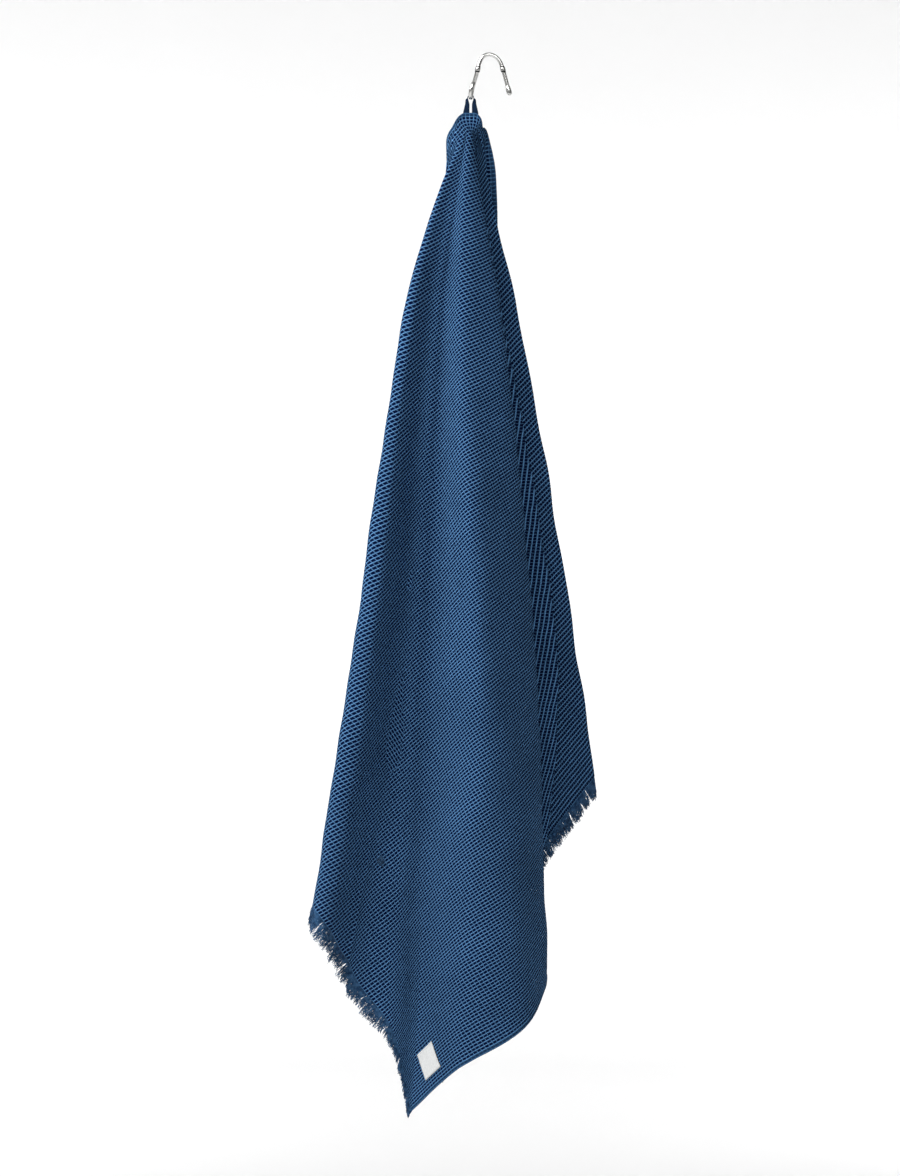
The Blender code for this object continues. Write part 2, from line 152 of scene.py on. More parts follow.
def steady_curve(knots: Array, values: Array, at: Array) -> Array:
    """Values at some places of the curve that never overshoots."""
    return curve_through(knots, values, steady_slopes(knots, values), at)


def curve_through(knots: Array, values: Array, slopes: Array, at: Array) -> Array:
    """Cubic curve through values with given slopes.

    Args:
        knots: Places of the values along the last axis.
        values: The values.
        slopes: The slope at each value.
        at: Places asked for.

    Returns:
        The curve's values at those places.
    """
    knots = np.asarray(knots, float)
    piece = np.clip(np.searchsorted(knots, at, side="right") - 1, 0, len(knots) - 2)
    step = knots[piece + 1] - knots[piece]
    part = (at - knots[piece]) / step
    square, cube = part**2, part**3
    return (
        values[..., piece] * (2 * cube - 3 * square + 1)
        + slopes[..., piece] * step * (cube - 2 * square + part)
        + values[..., piece + 1] * (3 * square - 2 * cube)
        + slopes[..., piece + 1] * step * (cube - square)
    )


def ease(value: Array, start: float, end: float) -> Array:
    """Rises smoothly from 0 at the start to 1 at the end."""
    share = np.clip((value - start) / (end - start), 0, 1)
    return share * share * (3 - 2 * share)


# The hanging cloth


@dataclass
class Drape:
    """The sheet's middle surface as it hangs, on a fine lattice of rays from the loop.

    Columns follow the folds and rows follow the cut edge. Each point also knows its place on the flat sheet.
    """

    length: float = 1.45
    width: float = 1.00
    radius_at_loop: float = 0.0001
    radius_growth: float = 0.0030
    crowding: float = 0.65
    gathered: Pair = (0.006, 0.032)
    stood_off: Pair = (0.012, 0.045)
    fine: int = 5
    ray_rows: int = 144
    top_crowding: float = 1.6
    past_edge: float = 1.03
    plan_step: float = 0.0025
    plan_reach: float = 1.32
    ray_reach: float = 0.75
    hem: float = 0.0042
    hem_rows: Numbers = (2.2, 1.6, 1.15, 0.9, 0.45, 0.12)
    swells: int = 14
    swell_seed: int = 11
    swell_height: float = 0.0011
    swell_pitch: Pair = (0.045, 0.16)

    def __post_init__(self) -> None:
        """Works out the lattice."""
        self.rays: dict[int, Array] = {}
        self.places = self.column_places()
        shares = np.linspace(0, 1, self.ray_rows + 1) ** self.top_crowding
        close = 1 - np.array(self.hem_rows) * self.hem
        shares = np.unique(np.concatenate([shares, close, [self.past_edge]]))
        steps = round(self.plan_reach / self.plan_step) + 1
        plan = np.array([self.section(i * self.plan_step, self.places) for i in range(steps)]).transpose(0, 2, 1)
        reaches, angles, points = [], [], []
        for share in shares:
            angle = self.column_angles(self.places, share)
            reach = share * self.edge_distance(angle)
            x, y = self.ray_point(plan, angle, reach)
            drop = np.zeros_like(x)
            if points:
                last = points[-1]
                along = (reach - reaches[-1]) ** 2 + ((reach + reaches[-1]) / 2 * (angle - angles[-1])) ** 2
                across = (x - last[:, 0]) ** 2 + (y - last[:, 1]) ** 2
                drop = last[:, 2] - np.sqrt(np.maximum(along - across, 0))
            reaches.append(reach)
            angles.append(angle)
            points.append(np.stack([x, y, drop], axis=1))
        self.shares = shares
        self.points = np.array(points) + np.array(LOOP_ROOT)
        reach, angle = np.array(reaches), np.array(angles)
        self.flat = np.stack([-reach * np.cos(angle), reach * np.sin(angle)], axis=2)
        self.normals = self.lattice_normals()
        self.points = self.points + self.normals * self.unevenness()[..., None]
        self.normals = self.lattice_normals()

    def lattice_normals(self) -> Array:
        """Unit normals of the side that shows at the front, one for each lattice point."""
        normals = np.cross(np.gradient(self.points, axis=0), np.gradient(self.points, axis=1))
        return normals / np.maximum(np.linalg.norm(normals, axis=2, keepdims=True), 1e-12)

    def unevenness(self) -> Array:
        """Small soft swells in the cloth, in metres along the normal, still at the loop and the cut sides."""
        u, v = self.flat[..., 0], self.flat[..., 1]
        rng = random.Random(self.swell_seed)
        swell = np.zeros_like(u)
        for _ in range(self.swells):
            way = rng.uniform(0, 2 * math.pi)
            pitch = rng.uniform(*self.swell_pitch)
            phase = rng.uniform(0, 2 * math.pi)
            swell += np.sin((u * math.cos(way) + v * math.sin(way)) * 2 * math.pi / pitch + phase)
        below_loop = np.clip((np.hypot(u, v) - 0.10) / 0.30, 0, 1)
        inward = np.clip((self.length / 2 + 0.004 - np.abs(u)) / 0.05, 0, 1)
        return swell / math.sqrt(self.swells) * self.swell_height * (below_loop * inward)

    def section(self, reach: float, places: Array) -> tuple[Array, Array]:
        """The cloth's line seen from above.

        Args:
            reach: Distance down the cloth from the loop.
            places: Places counted in folds from the left selvage.

        Returns:
            Metres right of the loop and behind it.
        """
        knots = np.arange(len(FOLDS))
        tables = (np.array([fold.right for fold in FOLDS], float), np.array([fold.behind for fold in FOLDS], float))
        right, behind = (steady_curve(SECTIONS, table, reach / CM) * CM for table in tables)
        turns = np.array([fold.turns for fold in FOLDS])
        radius = self.radius_at_loop + self.radius_growth * reach
        onward = np.gradient(behind)
        before, after = np.diff(right, prepend=right[0]), np.diff(right, append=right[-1])
        total = np.maximum(np.abs(before) + np.abs(after), 1e-9)
        panel = np.where(before * after < 0, 2 * np.abs(before * after) / total, 0.0)
        rounding = turns * np.sqrt(6 * panel * radius)
        behind_slopes = np.where(onward < 0, -1, 1) * np.maximum(np.abs(onward), rounding)
        return steady_curve(knots, right, places), curve_through(knots, behind, behind_slopes, places)

    def column_places(self) -> Array:
        """Lattice columns, counted in folds from the left selvage and crowded where the cloth turns back."""
        places = [0.0]
        for start, (fold, following) in enumerate(zip(FOLDS, FOLDS[1:])):
            count = fold.columns * self.fine
            for i in range(count):
                share = (i + 1) / count
                bend = self.crowding * math.sin(2 * math.pi * share) / (2 * math.pi)
                places.append(start + share - bend * (fold.turns if share < 0.5 else following.turns))
        return np.array(places)

    def column_angles(self, places: Array, share: float) -> Array:
        """The ray that each column follows.

        Args:
            places: Columns, counted in folds.
            share: Share of the way from the loop to the cut edge.

        Returns:
            Angles in radians from the left selvage.
        """
        fine = np.linspace(0, len(FOLDS) - 1, 24 * (len(FOLDS) - 1) + 1)
        x, y = self.section(self.ray_reach, fine)
        along = np.concatenate([[0], np.cumsum(np.hypot(np.diff(x), np.diff(y)))])
        at_knots = np.interp(np.arange(len(FOLDS)), fine, along)
        rays = np.array([(fold.top_angle, fold.middle_angle, fold.low_angle) for fold in FOLDS], float)
        angles = steady_curve(ANGLE_SHARES, rays, min(share, 1.0))
        return np.radians(np.interp(np.interp(places, fine, along), at_knots, angles))

    def edge_distance(self, angle: Array) -> Array:
        """Distance from the loop to the cut edge along a ray."""
        to_side = self.length / 2 / np.maximum(np.abs(np.cos(angle)), 1e-6)
        return np.minimum(to_side, self.width / np.maximum(np.sin(angle), 1e-6))

    def ray_point(self, plan: Array, angles: Array, reach: Array) -> tuple[Array, Array]:
        """Place of each column seen from above, flat against the view at the loop and folded further down.

        Args:
            plan: Section lines at even steps down the cloth.
            angles: Ray of each column.
            reach: Distance down the ray.

        Returns:
            Metres right of the loop and behind it.
        """
        index = reach / self.plan_step
        low = np.clip(index.astype(int), 0, len(plan) - 2)
        part = (index - low)[:, None]
        columns = np.arange(len(reach))
        hung_point = plan[low, columns] * (1 - part) + plan[low + 1, columns] * part
        gathered, stood_off = (ease(reach, *span) for span in (self.gathered, self.stood_off))
        spread = -reach * np.cos(angles)
        return spread + gathered * (hung_point[:, 0] - spread), stood_off * hung_point[:, 1]

    def between(self, lattice: Array, along: float, down: float) -> Vector:
        """A lattice's value at a place of the flat sheet.

        Args:
            lattice: Points or normals of the drape.
            along: Metres along the hemmed top, from the loop.
            down: Metres down the cloth.

        Returns:
            The value between the four nearest lattice points.
        """
        angle = math.atan2(down, -along)
        share = math.hypot(along, down) / float(self.edge_distance(np.array(angle)))
        row = min(int(np.searchsorted(self.shares, share, side="right")) - 1, len(self.shares) - 2)
        rays = self.row_angles(row)
        column = max(min(int(np.searchsorted(rays, angle, side="right")) - 1, len(rays) - 2), 0)
        a = (angle - rays[column]) / (rays[column + 1] - rays[column])
        b = (share - self.shares[row]) / (self.shares[row + 1] - self.shares[row])
        near = lattice[row, column] * (1 - a) + lattice[row, column + 1] * a
        far = lattice[row + 1, column] * (1 - a) + lattice[row + 1, column + 1] * a
        return Vector(near * (1 - b) + far * b)

    def row_angles(self, row: int) -> Array:
        """Rays of a row's points, worked out once for each row."""
        if row not in self.rays:
            self.rays[row] = self.column_angles(self.places, self.shares[row])
        return self.rays[row]

    def at(self, along: float, down: float) -> Vector:
        """Point of the hanging cloth at a place of the flat sheet."""
        return self.between(self.points, along, down)

    def facing(self, along: float, down: float) -> Vector:
        """Way that the front side faces at a place of the flat sheet."""
        return self.between(self.normals, along, down)


# Finishes


class Graph:
    """The node tree of a material or of the world, with short calls for the nodes in use."""

    def __init__(self, owner: Material | bpy.types.World, shader: str = "Principled BSDF") -> None:
        """Switches the owner's nodes on and finds its shader."""
        owner.use_nodes = True
        self.owner = owner
        self.tree = owner.node_tree
        self.shader = self.tree.nodes[shader]

    def node(self, kind: str, **inputs: object) -> bpy.types.Node:
        """Adds a node and sets or links its inputs.

        Args:
            kind: The node's type name.
            **inputs: Values or sockets by input name, with underscores for spaces.

        Returns:
            The node.
        """
        made = self.tree.nodes.new(kind)
        for name, value in inputs.items():
            self.put(made.inputs[name.replace("_", " ")], value)
        return made

    def put(self, socket: Socket, value: object) -> None:
        """Links a socket to an input, or sets the input's value."""
        if isinstance(value, Socket):
            self.tree.links.new(value, socket)
        else:
            socket.default_value = value

    def math(self, operation: str, *values: object) -> Socket:
        """One Math node.

        Args:
            operation: The node's operation.
            *values: Its inputs in order, numbers or sockets.

        Returns:
            The result's socket.
        """
        made = self.tree.nodes.new("ShaderNodeMath")
        made.operation = operation
        for socket, value in zip(made.inputs, values):
            self.put(socket, value)
        return made.outputs[0]

    def mix(self, share: object, first: object, second: object) -> Socket:
        """A colour between two, by share."""
        made = self.tree.nodes.new("ShaderNodeMix")
        made.data_type = "RGBA"
        self.put(made.inputs[0], share)
        for socket, colour in ((made.inputs[6], first), (made.inputs[7], second)):
            self.put(socket, (*colour, 1.0) if isinstance(colour, tuple) else colour)
        return made.outputs[2]

    def span(self, value: object, low: float, high: float, to_low: float, to_high: float) -> Socket:
        """A value moved from one range to another, held inside it."""
        return self.node("ShaderNodeMapRange", Value=value, From_Min=low, From_Max=high,
                         To_Min=to_low, To_Max=to_high).outputs[0]

    def wave(self, length: object, pitch: float) -> Socket:
        """Sine of a length, one wave to a pitch."""
        return self.math("SINE", self.math("MULTIPLY", length, 2 * math.pi / pitch))

    def noise(self, vector: object, scale: float, detail: float = 2.0) -> Socket:
        """Noise from 0 to 1 on a vector."""
        return self.node("ShaderNodeTexNoise", Vector=vector, Scale=scale, Detail=detail).outputs["Fac"]

    def weave_uv(self) -> tuple[Socket, Socket, Socket]:
        """The cloth's own map in metres: the whole vector, along and down."""
        uv = self.node("ShaderNodeUVMap")
        uv.uv_map = "weave"
        parts = self.node("ShaderNodeSeparateXYZ", Vector=uv.outputs[0])
        return uv.outputs[0], parts.outputs[0], parts.outputs[1]

    def place(self) -> Socket:
        """The piece's own coordinates."""
        return self.node("ShaderNodeTexCoord").outputs["Object"]

    def bump(self, height: object, distance: float, strength: float = 1.0) -> None:
        """Bumps the shader by a height of 0 to 1."""
        made = self.node("ShaderNodeBump", Height=height, Distance=distance, Strength=strength)
        self.put(self.shader.inputs["Normal"], made.outputs[0])

    def set(self, **values: object) -> None:
        """Sets or links the shader's inputs by name."""
        for name, value in values.items():
            self.put(self.shader.inputs[name.replace("_", " ")], value)


class Finish:
    """A material that its own nodes make up."""

    name: str

    def make(self) -> Material:
        """Builds the material."""
        g = Graph(bpy.data.materials.new(self.name))
        self.paint(g)
        return g.owner


@dataclass(frozen=True)
class WaffleCotton(Finish):
    """Honeycomb weave: square cells with raised threads around a pit, and a plain flat weave in the hems.

    Painted shade: threads that run down the cloth are weakened on its left half, and threads along it on its right
    half, in colour and relief, standing in for the shade of a light from the upper left.
    """

    name: str = "waffle_cotton"
    cell: Pair = (0.0050, 0.0039)
    # The navy cotton darkened by painted shade, used in the cells' pits and the grooves between the hem's ribs.
    painted_pit_shade: Triple = (0.0001, 0.0035, 0.0290)
    ridge: Triple = (0.1220, 0.3000, 0.5700)
    pit_end: float = 0.59
    ridge_start: float = 0.91
    rounding: float = 0.20
    relief_power: float = 1.5
    depth: float = 0.0016
    # Share kept by the thread family that the painted shade weakens on each half.
    shaded_thread_share: float = 0.80
    shade_half_blend: float = 0.06
    stray: float = 0.0012
    fuzz: float = 0.35
    wear: float = 0.10
    width: float = 1.00
    hem: float = 0.0042
    hem_blend: float = 0.0004
    hem_plainness: float = 0.6
    hem_colour: Triple = (0.0340, 0.1000, 0.2100)
    hem_rib: float = 0.0013

    def paint(self, g: Graph) -> None:
        """Sets up the nodes."""
        uv, along, down = g.weave_uv()
        stray = g.math("MULTIPLY", g.math("SUBTRACT", g.noise(uv, scale=60.0), 0.5), self.stray)
        across = self.ramp(g, g.math("ADD", along, stray), self.cell[0])
        rise = self.ramp(g, g.math("ADD", down, stray), self.cell[1])
        # Painted shade: one thread family is weakened on each half, as a light from the upper left would shade the
        # relief.
        shade_halves = (-self.shade_half_blend, self.shade_half_blend)
        across = g.math("MULTIPLY", across, g.span(along, *shade_halves, self.shaded_thread_share, 1.0))
        rise = g.math("MULTIPLY", rise, g.span(along, *shade_halves, 1.0, self.shaded_thread_share))
        ridge = g.math("SMOOTH_MAX", across, rise, self.rounding)
        fibres = g.noise(uv, scale=1400.0, detail=3.0)
        relief = g.math("POWER", ridge, self.relief_power)
        edge = g.math("MINIMUM", down, g.math("SUBTRACT", self.width, down))
        hemmed = g.span(edge, self.hem - self.hem_blend, self.hem + self.hem_blend, self.hem_plainness, 0.0)
        rib = g.math("MULTIPLY_ADD", g.wave(along, self.hem_rib), 0.25, 0.6)
        fuzzy = g.math("MULTIPLY_ADD", g.math("SUBTRACT", fibres, 0.5), self.fuzz, ridge)
        tone = g.span(fuzzy, self.pit_end, self.ridge_start, 0.0, 1.0)
        worn = g.span(g.noise(uv, scale=9.0, detail=3.0), 0.3, 0.7, 1 - self.wear, 1 + self.wear)
        # Painted shade: the pits, and the grooves between the hem's ribs, take the darkened pit colour.
        cells = g.mix(tone, self.painted_pit_shade, self.ridge)
        both = g.mix(hemmed, cells, g.mix(rib, self.painted_pit_shade, self.hem_colour))
        shaded = g.node("ShaderNodeHueSaturation", Value=worn, Color=both)
        height = g.math("ADD", g.math("MULTIPLY", relief, g.math("SUBTRACT", 1.0, hemmed)),
                        g.math("MULTIPLY", rib, hemmed))
        g.set(Base_Color=shaded.outputs[0], Roughness=0.97, Sheen_Weight=0.02, Sheen_Roughness=0.5,
              Sheen_Tint=(0.20, 0.50, 0.90, 1.0), Specular_IOR_Level=0.03)
        g.bump(g.math("MULTIPLY_ADD", fibres, 0.12, height), self.depth)

    def ramp(self, g: Graph, value: Socket, pitch: float) -> Socket:
        """Distance from a cell's middle line, 0 there and 1 on the threads between two cells."""
        part = g.math("FRACT", g.math("DIVIDE", g.math("ADD", value, 2.0), pitch))
        return g.math("ABSOLUTE", g.math("MULTIPLY_ADD", part, 2.0, -1.0))


@dataclass(frozen=True)
class ThreadCotton(Finish):
    """Loose cotton thread, a little lighter and darker from thread to thread."""

    name: str
    dark: Triple
    light: Triple
    grain: float = 260.0

    def paint(self, g: Graph) -> None:
        """Sets up the nodes."""
        place = g.place()
        tone = g.span(g.noise(place, self.grain, 3.0), 0.32, 0.68, 0.0, 1.0)
        g.set(Base_Color=g.mix(tone, self.dark, self.light), Roughness=0.9, Sheen_Weight=0.12, Sheen_Roughness=0.4,
              Specular_IOR_Level=0.1)
        g.bump(g.noise(place, scale=2600.0), distance=0.0002, strength=0.8)


@dataclass(frozen=True)
class NavyTape(Finish):
    """Firm narrow tape with fine ribs across it."""

    name: str = "navy_tape"
    dark: Triple = (0.0015, 0.0070, 0.0220)
    light: Triple = (0.0070, 0.0240, 0.0640)
    rib: float = 0.0011
    thread: float = 0.00088

    def paint(self, g: Graph) -> None:
        """Sets up the nodes."""
        place = g.place()
        parts = g.node("ShaderNodeSeparateXYZ", Vector=place)
        rows, ways = g.wave(parts.outputs[2], self.rib), g.wave(parts.outputs[0], self.thread)
        weave = g.math("MULTIPLY_ADD", g.math("MULTIPLY", rows, ways), 0.4, 0.5)
        wear = g.noise(place, scale=300.0, detail=3.0)
        worn = g.math("MULTIPLY_ADD", wear, 0.5, g.math("MULTIPLY", weave, 0.5))
        g.set(Base_Color=g.mix(worn, self.dark, self.light), Roughness=0.85, Sheen_Weight=0.04,
              Specular_IOR_Level=0.1)
        g.bump(weave, distance=0.00025, strength=0.8)


@dataclass(frozen=True)
class WovenLabel(Finish):
    """Close satin-woven label, bare, with a faint slub along its threads."""

    name: str = "woven_label"
    light: Triple = (0.66, 0.67, 0.67)
    dark: Triple = (0.50, 0.51, 0.51)
    thread: float = 0.00055

    def paint(self, g: Graph) -> None:
        """Sets up the nodes."""
        uv, along, down = g.weave_uv()
        warp, weft = g.wave(along, self.thread), g.wave(down, self.thread)
        weave = g.math("MULTIPLY_ADD", g.math("MULTIPLY", warp, weft), 0.35, 0.5)
        slub = g.noise(uv, scale=420.0, detail=3.0)
        g.set(Base_Color=g.mix(g.span(slub, 0.25, 0.75, 0.15, 1.0), self.dark, self.light), Roughness=0.7,
              Sheen_Weight=0.1)
        g.bump(g.math("MULTIPLY_ADD", slub, 0.4, weave), distance=0.00012, strength=0.7)


@dataclass(frozen=True)
class PolishedSteel(Finish):
    """Bright polished wire with faint rubbing marks and painted shade in the creases beside the collars."""

    name: str = "polished_steel"
    bright: Triple = (0.76, 0.76, 0.74)
    dull: Triple = (0.50, 0.50, 0.49)
    # Painted shade colour for the creases where the collars meet the wire.
    painted_crease_shade: Triple = (0.020, 0.020, 0.022)
    collar: float = -0.0160
    collar_half: float = 0.0030
    crease_shade_half: float = 0.0007
    crease_shade_blend: float = 0.0003

    def paint(self, g: Graph) -> None:
        """Sets up the nodes."""
        place = g.place()
        smear = g.noise(place, scale=220.0, detail=4.0)
        up = g.node("ShaderNodeSeparateXYZ", Vector=place).outputs[2]
        # Painted shade: near-black bands at both edges of each collar.
        off = g.math("ABSOLUTE", g.math("SUBTRACT", up, self.collar))
        from_edge = g.math("ABSOLUTE", g.math("SUBTRACT", off, self.collar_half))
        crease_shade_mask = g.span(from_edge, self.crease_shade_half, self.crease_shade_half + self.crease_shade_blend, 1.0, 0.0)
        metal = g.mix(g.span(smear, 0.35, 0.75, 0.0, 0.7), self.bright, self.dull)
        g.set(Base_Color=g.mix(crease_shade_mask, metal, self.painted_crease_shade), Metallic=1.0,
              Roughness=g.span(smear, 0.3, 0.8, 0.12, 0.26))
        g.bump(g.noise(place, scale=1800.0), distance=0.00003, strength=0.5)


@dataclass(frozen=True)
class StudioPaper(Finish):
    """Pale seamless paper."""

    name: str = "studio_paper"
    light: Triple = (0.96, 0.96, 0.96)
    dark: Triple = (0.94, 0.94, 0.94)

    def paint(self, g: Graph) -> None:
        """Sets up the nodes."""
        place = g.place()
        clouds = g.noise(place, scale=3.0, detail=3.0)
        g.set(Base_Color=g.mix(clouds, self.dark, self.light), Roughness=0.95, Specular_IOR_Level=0.1)
        g.bump(g.noise(place, scale=500.0), distance=0.0002, strength=0.1)


# Pieces


def add_object(name: str, data: bpy.types.ID) -> Object:
    """Puts a new object with its data in the scene."""
    made = bpy.data.objects.new(name, data)
    SCENE.collection.objects.link(made)
    return made


def to_object(name: str, bm: Mesh, finish: Material) -> Object:
    """Makes a finished piece of a bmesh.

    Args:
        name: The piece's name.
        bm: Its shape, which is freed.
        finish: Its material.

    Returns:
        The object, riding on the one body.
    """
    mesh = bpy.data.meshes.new(name)
    bm.to_mesh(mesh)
    bm.free()
    mesh.materials.append(finish)
    mesh.shade_smooth()
    made = add_object(name, mesh)
    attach(made, "root")
    return made


def wires_to_object(name: str, routes: list[Route], radius: float, sides: int, finish: Material) -> Object:
    """Makes one mesh of round wires or threads.

    Args:
        name: The piece's name.
        routes: Points of each wire, with their shares of the radius.
        radius: Full radius.
        sides: The curve's bevel resolution.
        finish: The material.

    Returns:
        The object.
    """
    curve = bpy.data.curves.new(name, "CURVE")
    curve.dimensions = "3D"
    curve.bevel_depth = radius
    curve.bevel_resolution = sides
    curve.use_fill_caps = True
    for points, shares in routes:
        spline = curve.splines.new("POLY")
        spline.points.add(len(points) - 1)
        for point, place, share in zip(spline.points, points, shares):
            point.co = (*place, 1.0)
            point.radius = share
    holder = add_object(name + "_line", curve)
    bpy.context.view_layer.update()
    mesh = bpy.data.meshes.new_from_object(holder.evaluated_get(bpy.context.evaluated_depsgraph_get()))
    bpy.data.objects.remove(holder)
    bpy.data.curves.remove(curve)
    bm = bmesh.new()
    bm.from_mesh(mesh)
    bpy.data.meshes.remove(mesh)
    bmesh.ops.remove_doubles(bm, verts=bm.verts, dist=SAME_PLACE)
    bmesh.ops.recalc_face_normals(bm, faces=bm.faces)
    return to_object(name, bm, finish)


def lay_stitch(bm: Mesh, place: Vector, way: Vector, facing: Vector, lift: float, size: Triple) -> None:
    """Adds one straight stitch, a small box.

    Args:
        bm: The mesh it joins.
        place: The cloth below its middle.
        way: Unit vector along it.
        facing: Way that the cloth faces there.
        lift: How far it lies off that place.
        size: Its length, width and height.
    """
    out = (facing - way * facing.dot(way)).normalized()
    turn = Matrix((way, out.cross(way), out)).transposed().to_4x4()
    where = Matrix.Translation(place + out * lift) @ turn @ Matrix.Diagonal((*size, 1.0))
    bmesh.ops.create_cube(bm, size=1.0, matrix=where)


def thicken(piece: Object, thickness: float) -> bpy.types.Modifier:
    """Gives a sheet its thickness, half to each side."""
    shell = piece.modifiers.new("thickness", "SOLIDIFY")
    shell.thickness = thickness
    shell.offset = 0
    return shell


def grid_of(points: Array, flat: Array) -> Mesh:
    """A grid whose vertices take given points, with the flat sheet's metres as its map.

    Args:
        points: Rows and columns of points.
        flat: Their places on the flat sheet.

    Returns:
        The bmesh, its faces wound to face the front.
    """
    rows, columns = points.shape[:2]
    bm = bmesh.new()
    bmesh.ops.create_grid(bm, x_segments=columns - 1, y_segments=rows - 1, size=0.5)
    bm.verts.ensure_lookup_table()
    where = {}
    for vert in bm.verts:
        column = round((vert.co.x + 0.5) * (columns - 1))
        row = round((vert.co.y + 0.5) * (rows - 1))
        where[vert.index] = (row, column)
        vert.co = points[row, column]
    layer = bm.loops.layers.uv.new("weave")
    for face in bm.faces:
        for loop in face.loops:
            loop[layer].uv = flat[where[loop.vert.index]]
    return bm


@dataclass
class BathSheet:
    """The cloth panel with its two hems, their stitches and the sewn label."""

    drape: Drape
    cotton: Material
    thread: Material
    label_finish: Material
    thickness: float = 0.0016
    hem_thickness: float = 0.0028
    stitch_pitch: float = 0.0042
    stitch_size: Triple = (0.0028, 0.0005, 0.0005)
    stitch_line: float = 0.0036
    bare_top: float = 0.012
    label_size: Pair = (0.031, 0.037)
    label_centre: Pair = (-0.668, 0.964)
    label_grid: tuple[int, int] = (18, 14)
    label_thickness: float = 0.0006
    label_belly: float = 0.0007
    seam_stitches: int = 12
    seam_half: float = 0.028

    def build(self) -> None:
        """Builds the cloth and what is sewn on it."""
        cloth = self.panel()
        stitches = self.stitches()
        label = self.label()
        label_stitches = self.label_stitches()
        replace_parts(cloth, "towel")
        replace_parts(label, "label")

    def panel(self) -> Object:
        """The waffle cloth, thicker in its two hems."""
        points, flat = self.drape.points[:-1], self.drape.flat[:-1]
        bm = grid_of(points, flat)
        deform = bm.verts.layers.deform.verify()
        rows, columns = points.shape[:2]
        layer = bm.loops.layers.uv["weave"]
        for vert in bm.verts:
            down = vert.link_loops[0][layer].uv.y
            edge = min(down, self.drape.width - down)
            vert[deform][0] = 1.0 if edge < self.drape.hem else 0.0
        bmesh.ops.remove_doubles(bm, verts=bm.verts, dist=SAME_PLACE)
        cloth = to_object("cloth_panel", bm, self.cotton)
        cloth.vertex_groups.new(name="hem")
        shell = thicken(cloth, self.hem_thickness)
        shell.vertex_group = "hem"
        shell.thickness_vertex_group = self.thickness / self.hem_thickness
        LOG.info("cloth panel: %d by %d lattice from %s to %s", rows, columns, FOLDS[0].name, FOLDS[-1].name)
        return cloth

    def stitches(self) -> Object:
        """Short straight stitches along both hems, on both faces of the cloth."""
        bm = bmesh.new()
        count = int(self.drape.length / self.stitch_pitch) - 1
        for down in (self.stitch_line, self.drape.width - self.stitch_line):
            for i in range(count):
                along = -self.drape.length / 2 + (i + 1) * self.stitch_pitch
                if abs(along) >= self.bare_top or down > self.drape.width / 2:
                    self.stitch(bm, along, down)
        LOG.info("hem stitches: %d", len(bm.verts) // 8)
        return to_object("hem_stitches", bm, self.thread)

    def stitch(self, bm: Mesh, along: float, down: float) -> None:
        """Adds one stitch's thread on each face of the cloth, from a place of the flat sheet."""
        end = along + self.stitch_size[0]
        middle = ((along + end) / 2, down)
        way = (self.drape.at(end, down) - self.drape.at(along, down)).normalized()
        place, facing = self.drape.at(*middle), self.drape.facing(*middle)
        for face in (-1, 1):
            lay_stitch(bm, place, way, facing, face * self.hem_thickness / 2, self.stitch_size)

    def label_point(self, across: float, tall: float, lift: float) -> Vector:
        """A point above the label's place, by shares of its size from its centre."""
        along = self.label_centre[0] + self.label_size[0] * across
        down = self.label_centre[1] + self.label_size[1] * tall
        return self.drape.at(along, down) + self.drape.facing(along, down) * lift

    def label(self) -> Object:
        """The bare label, its corners a little lifted between its sewn ends."""
        rows, columns = self.label_grid
        points, flat = np.empty((rows, columns, 3)), np.empty((rows, columns, 2))
        base = self.thickness / 2 + self.label_thickness / 2 + 0.0004
        for i in range(rows):
            for j in range(columns):
                across, tall = j / (columns - 1) - 0.5, i / (rows - 1) - 0.5
                uneven = 0.4 + 0.6 * abs(math.sin(3.1 * across + 0.5))
                belly = self.label_belly * math.cos(math.pi * tall) * uneven
                points[i, j] = self.label_point(across, tall, base + belly)
                flat[i, j] = (across * self.label_size[0], tall * self.label_size[1])
        label = to_object("sewn_label", grid_of(points, flat), self.label_finish)
        thicken(label, self.label_thickness)
        return label

    def label_stitches(self) -> Object:
        """Small stitches along the label's two sewn ends."""
        bm = bmesh.new()
        lift = self.thickness / 2 + self.label_thickness + 0.0005
        facing, half = self.drape.facing(*self.label_centre), self.seam_half
        for tall in (-0.45, 0.45):
            for i in range(self.seam_stitches):
                across = (i + 0.5) / self.seam_stitches - 0.5
                start, end = (self.label_point(across + shift, tall, lift) for shift in (-half, half))
                way = (end - start).normalized()
                size = ((end - start).length, 0.0004, 0.0003)
                lay_stitch(bm, (start + end) / 2, way, facing, 0.0, size)
        return to_object("label_stitches", bm, self.label_finish)


